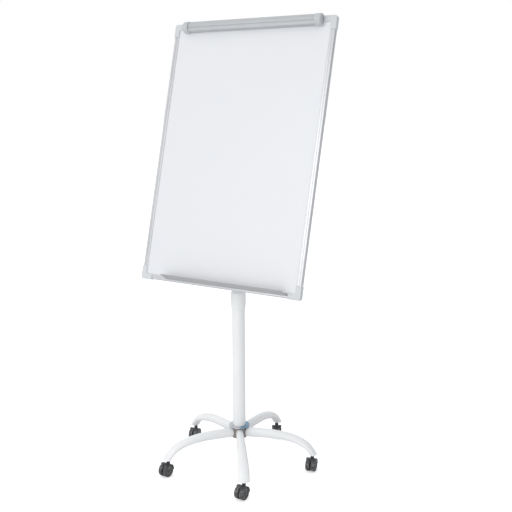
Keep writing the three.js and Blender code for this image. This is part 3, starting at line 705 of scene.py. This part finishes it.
# ---------------------------------------------------------------- tilt head
def build_tilt_head():
    """Moulded head that grips the inner pole, with a rounded crown between the bracket's ears."""
    skirt_bottom, skirt_top = PIVOT_Z - 71, PIVOT_Z - 33
    crown = [(-18, skirt_top - 5), *arc((0, PIVOT_Z), 18, 180, 0, 30), (18, skirt_top - 5)]
    head = as_object("pole_head_fine", prism(crown, "x", -HEAD_HALF, HEAD_HALF), POLE)
    soften(head, 1.6, 3)
    skirt = rounded([(0, skirt_bottom), (24, skirt_bottom, 1.2), (24, skirt_top, 3), (0, skirt_top)],
                    closed=False)
    combine(head, as_object("skirt", turned(skirt), POLE), "UNION")
    low, high = skirt_bottom - 9, MAST_Z[1] + GAP
    pole_bore = turned([(0, low), (MAST_R + GAP, low), (MAST_R + GAP, high), (0, high)])
    combine(head, as_object("bore", pole_bore, POLE), "DIFFERENCE")
    bolt_bore = turned(TILT_BORE, "x", (0, PIVOT_Z), sides=36)
    combine(head, as_object("bore", bolt_bore, POLE), "DIFFERENCE")
    stand_for(head, "pole_head")

    hexagon = arc((0, PIVOT_Z), BOLT_HEAD_R, 0, 300, 5)
    bolt = as_object("tilt_bolt_fine", prism(hexagon, "x", -EAR_X[1] - 7, -EAR_X[1] - GAP), POLE)
    soften(bolt, 0.6, 2)
    shank = rounded([(0, -EAR_X[1] - 1), (5, -EAR_X[1] - 1), (5, 50, 0.8), (0, 50)], closed=False)
    combine(bolt, as_object("shank", turned(shank, "x", (0, PIVOT_Z), sides=36), POLE), "UNION")
    stand_for(bolt, "tilt_bolt")

    start, face = EAR_X[1] + GAP, 56
    grip = rounded([
        (12, start), (12, 36, 1.5), (20, 36.6, 2.5), (21.8, 41), (21.8, 51), (19.5, face, 3), (0, face),
    ], steps=5, closed=False)
    profile = [(0, start + 22), (TILT_BORE_R, start + 22), (TILT_BORE_R, start), *grip]

    def lobes(angle):
        return 1 - 0.06 * (1 - math.cos(6 * angle))

    knob = turned(profile, "x", (0, PIVOT_Z), sides=96, lobes=lobes)
    stand_for(as_object("tilt_knob_fine", knob, POLE), "tilt_knob")


# ---------------------------------------------------------------- board
def build_frame():
    """Extruded profiles with a soft front edge, a groove line and a slot for the panel."""
    section = rounded([
        (0, 0, 3.6), (9, 0, 0.2), (9, 1), (10.5, 1), (10.5, 0, 0.2), (20, 0, 1.6),
        (20, 2.2), (12, 2.2), (12, 11.2), (20, 11.2), (20, 15, 0.5), (0, 15, 1),
    ], steps=6)
    width, height = BOARD_SIZE
    edge = width / 2 - FRAME_INSET
    across, upright = FRAME_MATERIALS["across"], FRAME_MATERIALS["upright"]
    for name, side in (("left", -1), ("right", 1)):
        outline = [(side * (edge - a), depth) for a, depth in section]
        bar = prism(outline, "z", CAP_LEG + GAP, height - CAP_LEG - GAP)
        stand_for(as_object(f"frame_{name}_fine", bar, BOARD), f"frame_{name}", upright)
    reach = width / 2 - CAP_LEG - GAP
    for name, level in (("bottom", lambda a: FRAME_INSET + a), ("top", lambda a: height - FRAME_INSET - a)):
        bar = prism([(depth, level(a)) for a, depth in section], "x", -reach, reach)
        stand_for(as_object(f"frame_{name}_fine", bar, BOARD), f"frame_{name}", across)


def build_corner_caps():
    """Moulded L-shaped caps, with a pocket for the panel."""
    width, height = BOARD_SIZE
    front, back = CAP_DEPTH
    corners = [
        (CAP_LEG, 0), (0, 0, 10), (0, CAP_LEG), (CAP_WIDTH, CAP_LEG),
        (CAP_WIDTH, CAP_WIDTH, 4), (CAP_LEG, CAP_WIDTH),
    ]
    half, margin = PANEL
    for level in ("bottom", "top"):
        for name, side in (("left", -1), ("right", 1)):
            outline = [
                (side * (width / 2 - a), height - b if level == "top" else b)
                for a, b in rounded(corners, 8)
            ]
            node = f"corner_cap_{level}_{name}"
            cap = as_object(f"{node}_fine", prism(outline, "y", front, back), BOARD)
            soften(cap, 2.2, 4, 50)
            pocket = [(-half - 0.5, margin - 0.5), (half + 0.5, margin - 0.5),
                      (half + 0.5, height - margin + 0.5), (-half - 0.5, height - margin + 0.5)]
            combine(cap, as_object("pocket", prism(pocket, "y", 2.2, 11.2), BOARD), "DIFFERENCE")
            stand_for(cap, node)


def build_crossbar():
    """Folded channel with a pivot bracket, two ears for the tilt bolt, and its screws."""
    low, high = PIVOT_UP - CROSSBAR_HALF_HEIGHT, PIVOT_UP + CROSSBAR_HALF_HEIGHT
    front, back, wall = CROSSBAR_FRONT, CROSSBAR_DEPTH, CROSSBAR_WALL
    channel = rounded([
        (front, low, 0.6), (back, low, 3), (back, high, 3), (front, high, 0.6),
        (front, high - wall, 0.6), (back - wall, high - wall, 1.2),
        (back - wall, low + wall, 1.2), (front, low + wall, 0.6),
    ], 4)
    bar = as_object("crossbar_fine", prism(channel, "x", -CROSSBAR_HALF, CROSSBAR_HALF), BOARD)
    half, rise = PLATE_HALF
    plate = rounded([
        (-half, PIVOT_UP - rise, 6), (half, PIVOT_UP - rise, 6),
        (half, PIVOT_UP + rise, 6), (-half, PIVOT_UP + rise, 6),
    ], 6)
    bracket = as_object("bracket", prism(plate, "y", back - 1, PLATE_BACK), BOARD)
    soften(bracket, 0.7, 2)
    combine(bar, bracket, "UNION")
    ear = [(28, PIVOT_UP - 22), *arc((PIVOT_BEHIND, PIVOT_UP), 13, -70, 70, 20), (28, PIVOT_UP + 22)]
    for side in (-1, 1):
        ends = sorted((side * EAR_X[0], side * EAR_X[1]))
        lug = as_object("ear", prism(ear, "x", *ends), BOARD)
        soften(lug, 0.5, 2)
        combine(bar, lug, "UNION")
    bore = turned(TILT_BORE, "x", (PIVOT_BEHIND, PIVOT_UP), sides=36)
    combine(bar, as_object("bore", bore, BOARD), "DIFFERENCE")
    stand_for(bar, "crossbar")
    end_screws = [(x, back, PIVOT_UP + dz) for x in (-327, 327) for dz in (-12, 12)]
    screws("crossbar_screws", "board", end_screws, 1, BOARD)
    plate_bolts = [(x, PLATE_BACK, PIVOT_UP + dz) for x in (-39, 39) for dz in (-20, 20)]
    screws("bracket_screws", "board", plate_bolts, 1, BOARD, 5, 2.8)


def build_tray():
    """Pen shelf: a hooked foot, a sloped floor with two drawn ribs and a rolled lip."""
    corners = [
        (-0.7, 12.2), (-0.7, 11.3), (1, 11.3), (2, 10, 1.5), (41.6, 24.2, 1.5), (43, 26.6, 0.5),
        (41.6, 27.1, 0.5), (40.4, 25.75, 0.8),
        (30.9, 22.35), (30.2, 22.9), (29.5, 21.85), (17.2, 17.45), (16.5, 18.0), (15.8, 16.95),
        (2, 12.05, 1.2), (2, 19.5, 0.6), (0.3, 19.5, 0.6), (0.3, 12.2),
    ]
    outline = [(-n, h) for n, h in rounded(corners, 5)]
    tray = as_object("pen_tray_fine", prism(outline, "x", *TRAY_X), BOARD)
    stand_for(tray, "pen_tray")


# ---------------------------------------------------------------- pad clamp
def clamp_outline(inset):
    """The clamp bar's outline as (n, h), from its curled back edge over the top to its lip."""
    n, h = CLAMP_AXIS
    curl = arc((n, h), 9.5 - inset, 180, 36, 18)
    shoulder = curve_to(curl[-1], (24.5 - inset, 995 - inset), (25 - inset, 984), 10)
    step = [(25 - inset, 979.5 + inset * 0.6), (22 - inset, 978 + inset * 0.6), (22 - inset, 967.5)]
    lip = curve_to(step[-1], (22 - inset, 964.5 + inset), (19 - inset, 964.5 + inset), 6)
    return [*curl, *shoulder, *step, *lip, (-1.8, 964.5 + inset)]


def build_clamp():
    """Extruded bar with end plates on two pinned brackets, and the rail's screws and hooks."""
    outer, inner = clamp_outline(0), clamp_outline(CLAMP_WALL)
    backwards = [(-n, h) for n, h in outer + inner[::-1]]
    bar = as_object("clamp_bar_fine", prism(backwards, "x", -CLAMP_HALF, CLAMP_HALF), BOARD)
    full = [(-n, h) for n, h in [*outer, (2.5, 980)]]
    for x in (-CLAMP_HALF, CLAMP_HALF - CLAMP_END):
        plate = as_object("end_plate", prism(full, "x", x, x + CLAMP_END), BOARD)
        combine(bar, plate, "UNION")
    n, h = CLAMP_AXIS
    radius, past_end = PIN_R + GAP, 280
    bore_profile = [(0, -past_end), (radius, -past_end), (radius, past_end), (0, past_end)]
    bore = turned(bore_profile, "x", (-n, h), sides=36)
    combine(bar, as_object("bore", bore, BOARD), "DIFFERENCE")
    stand_for(bar, "clamp_bar")
    for name, side in (("left", -1), ("right", 1)):
        build_bracket(name, side)
        build_spring(name, side)
        build_hook(name, side)
    rail_screws = [(x, RAIL_FRONT, RAIL_MIDDLE_Z) for x in RAIL_SCREW_X]
    screws("rail_screws", "board", rail_screws, -1, BOARD, 2.6, 1.2)


def build_bracket(name, side):
    """Round end bracket with a domed outer edge, a dished face and the hinge pin on its inner face."""
    n, h = BRACKET_CENTRE
    inner, outer = BRACKET_X
    profile = rounded([
        (0, inner), (BRACKET_R, inner, 1.5), (BRACKET_R, outer, 6), (15, outer, 0.8),
        (13.5, outer - 1.6, 0.8), (5.5, outer - 1.6, 0.4), (4.8, outer - 0.6, 0.5), (0, outer - 0.6),
    ], 6, closed=False)
    profile = [(r, side * x) for r, x in profile]
    node = f"clamp_bracket_{name}"
    bracket = as_object(f"{node}_fine", turned(profile, "x", (-n, h)), BOARD)
    tip, root = inner - PIN_LENGTH, inner + 1
    pin_profile = rounded([(0, tip), (PIN_R, tip, 0.8), (PIN_R, root), (0, root)], closed=False)
    pin_profile = [(r, side * x) for r, x in pin_profile]
    pin = as_object("pin", turned(pin_profile, "x", (-CLAMP_AXIS[0], CLAMP_AXIS[1]), sides=36), BOARD)
    combine(bracket, pin, "UNION")
    behind = [(-0.3, 900), (60, 900), (60, 1100), (-0.3, 1100)]
    combine(bracket, as_object("behind", prism(behind, "x", -320, 320), BOARD), "DIFFERENCE")
    stand_for(bracket, node, BRACKET_PLASTIC)


def build_spring(name, side):
    """Torsion spring wound on the hinge pin, with a short straight leg."""
    coil, wire, turns, pitch, leg = 5.2, 0.8, 4, 2, 4
    from_bracket, per_turn, wire_sides = 15.5, 28, 10
    start = side * (BRACKET_X[0] - from_bracket)
    n, h = CLAMP_AXIS
    line = [Vector((start, -n + coil, h - leg)), Vector((start, -n + coil, h - leg / 2))]
    for i in range(turns * per_turn + 1):
        angle = 2 * math.pi * i / per_turn
        across = start + side * pitch * i / per_turn
        line.append(Vector((across, -n + coil * math.cos(angle), h + coil * math.sin(angle))))
    rings = []
    for i, point in enumerate(line):
        along = (line[min(i + 1, len(line) - 1)] - line[max(i - 1, 0)]).normalized()
        first = along.cross(Vector((1, 0, 0))).normalized()
        second = along.cross(first)
        angles = [2 * math.pi * j / wire_sides for j in range(wire_sides)]
        rings.append([tuple(point + (first * math.cos(a) + second * math.sin(a)) * wire) for a in angles])
    stand_for(as_object(f"clamp_spring_{name}_fine", loft(rings), BOARD), f"clamp_spring_{name}")


def build_hook(name, side):
    """Pad hook: a slider on the rail with a claw under it and a peg with a rounded tip."""
    x = side * HOOK_X
    left, right = x - HOOK_HALF, x + HOOK_HALF
    bottom, top = HOOK_Z
    outline = rounded([(left, bottom, 2), (right, bottom, 2), (right, top, 2), (left, top, 2)], 4)
    hook = as_object(f"pad_hook_{name}_fine", prism(outline, "y", -6, -2.3), BOARD)
    soften(hook, 0.5, 2)
    claw_half, claw_bottom, claw_top = HOOK_HALF - 0.1, bottom + 0.1, 978.6
    claw = [
        (x - claw_half, claw_bottom), (x + claw_half, claw_bottom),
        (x + claw_half, claw_top), (x - claw_half, claw_top),
    ]
    combine(hook, as_object("claw", prism(claw, "y", -2.6, -0.3), BOARD), "UNION")
    peg = rounded([(0, -5), (PEG_R, -5), (PEG_R, -15.5, 1.6), (0, -15.5)], closed=False)
    combine(hook, as_object("peg", turned(peg, "y", (x, PEG_Z), sides=32), BOARD), "UNION")
    stand_for(hook, f"pad_hook_{name}")


# ---------------------------------------------------------------- CAD nodes that stay
def finish_kept_nodes():
    """The plain nodes whose CAD shape is right keep it, with broken edges and a real finish."""
    for node, item in frame["nodes"].items():
        if item.hide_render:
            continue
        item.data.materials.clear()
        item.data.materials.append(MATERIALS[SLOT_OF[node]])
        low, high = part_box(node)
        bevel = item.modifiers.new("broken_edges", "BEVEL")
        bevel.width = min(0.3 * MM, 0.2 * min(high - low))
        bevel.segments = 2
        bevel.limit_method = "ANGLE"
        bevel.angle_limit = math.radians(50)


# ---------------------------------------------------------------- studio
CAMERA_AT = (1.60832, -2.48667, 1.41207)
CAMERA_HEADING = 31.75  # degrees from +Y towards -X
CAMERA_PITCH = -11.12
CAMERA_ROLL = -0.22
CAMERA_LENS = 55.73
SENSOR = 36
WORLD_STRENGTH = 0.94
FLOOR_GLOW = 0.42
FLOOR_REACH = 40
LIGHT_TARGET = (0, 0, 0.9)


def build_camera():
    """The camera, in metres and degrees."""
    camera = bpy.data.cameras.new("camera")
    camera.lens = CAMERA_LENS
    camera.sensor_width = SENSOR
    item = bpy.data.objects.new("camera", camera)
    bpy.context.scene.collection.objects.link(item)
    item.matrix_world = (
        Matrix.Translation(CAMERA_AT)
        @ Matrix.Rotation(math.radians(CAMERA_HEADING), 4, "Z")
        @ Matrix.Rotation(math.radians(90 + CAMERA_PITCH), 4, "X")
        @ Matrix.Rotation(math.radians(CAMERA_ROLL), 4, "Z")
    )
    bpy.context.scene.camera = item


def build_world():
    """Soft white light from everywhere, weaker from the right, and white behind the object."""
    world = bpy.data.worlds.new("studio")
    bpy.context.scene.world = world
    world.use_nodes = True
    tree = world.node_tree
    light = tree.nodes["Background"]
    direction = tree.nodes.new("ShaderNodeTexCoord").outputs["Generated"]
    towards = tree.nodes.new("ShaderNodeVectorMath")
    towards.operation = "DOT_PRODUCT"
    towards.inputs[1].default_value = (0.93, 0.3, -0.2)
    tree.links.new(direction, towards.inputs[0])
    share = ranged(tree, towards.outputs["Value"], 0.25, 0.85, 0, 1)
    colour = socket_mix(tree, share, (0.97, 0.98, 1.0), (0.42, 0.43, 0.45))
    tree.links.new(colour, light.inputs["Color"])
    light.inputs["Strength"].default_value = WORLD_STRENGTH
    backdrop = tree.nodes.new("ShaderNodeBackground")
    backdrop.inputs["Color"].default_value = (1, 1, 1, 1)
    seen = tree.nodes.new("ShaderNodeLightPath").outputs["Is Camera Ray"]
    mix = tree.nodes.new("ShaderNodeMixShader")
    tree.links.new(seen, mix.inputs[0])
    tree.links.new(light.outputs[0], mix.inputs[1])
    tree.links.new(backdrop.outputs[0], mix.inputs[2])
    tree.links.new(mix.outputs[0], tree.nodes["World Output"].inputs["Surface"])


def build_light(name, at, size, power):
    """A square softbox of a size in metres, aimed at the object."""
    lamp = bpy.data.lights.new(name, "AREA")
    lamp.size = size
    lamp.energy = power
    item = bpy.data.objects.new(name, lamp)
    item.location = at
    aim = Vector(LIGHT_TARGET) - Vector(at)
    item.rotation_mode = "QUATERNION"
    item.rotation_quaternion = aim.to_track_quat("-Z", "Y")
    bpy.context.scene.collection.objects.link(item)


def build_floor():
    """A plain floor: white as it is seen, and without its glow in what it reflects onto the object."""
    reach = FLOOR_REACH
    corners = [(-reach, -reach, 0), (reach, -reach, 0), (reach, reach, 0), (-reach, reach, 0)]
    data = bpy.data.meshes.new("floor")
    data.from_pydata(corners, [], [(0, 1, 2, 3)])
    floor = bpy.data.objects.new("floor", data)
    bpy.context.scene.collection.objects.link(floor)
    material = bpy.data.materials.new("pale_floor")
    material.use_nodes = True
    tree = material.node_tree
    seen = tree.nodes["Principled BSDF"]
    seen.inputs["Base Color"].default_value = (0.9, 0.9, 0.9, 1)
    seen.inputs["Roughness"].default_value = 0.9
    seen.inputs["Emission Color"].default_value = (1, 1, 1, 1)
    seen.inputs["Emission Strength"].default_value = FLOOR_GLOW
    reflected = tree.nodes.new("ShaderNodeBsdfDiffuse")
    reflected.inputs["Color"].default_value = (0.85, 0.85, 0.85, 1)
    mix = tree.nodes.new("ShaderNodeMixShader")
    tree.links.new(tree.nodes.new("ShaderNodeLightPath").outputs["Is Camera Ray"], mix.inputs[0])
    tree.links.new(reflected.outputs[0], mix.inputs[1])
    tree.links.new(seen.outputs[0], mix.inputs[2])
    tree.links.new(mix.outputs[0], tree.nodes["Material Output"].inputs["Surface"])
    data.materials.append(material)


build_camera()
build_world()
build_light("key", (-1.1, -3.5, 2.4), 1.8, 20)
build_light("fill", (1.4, -3.6, 0.7), 1.6, 16)
build_floor()
bpy.context.scene.view_settings.view_transform = "Standard"

build_arms()
build_hub()
build_castors()
build_pole()
build_tilt_head()
build_frame()
build_corner_caps()
build_crossbar()
build_tray()
build_clamp()
finish_kept_nodes()
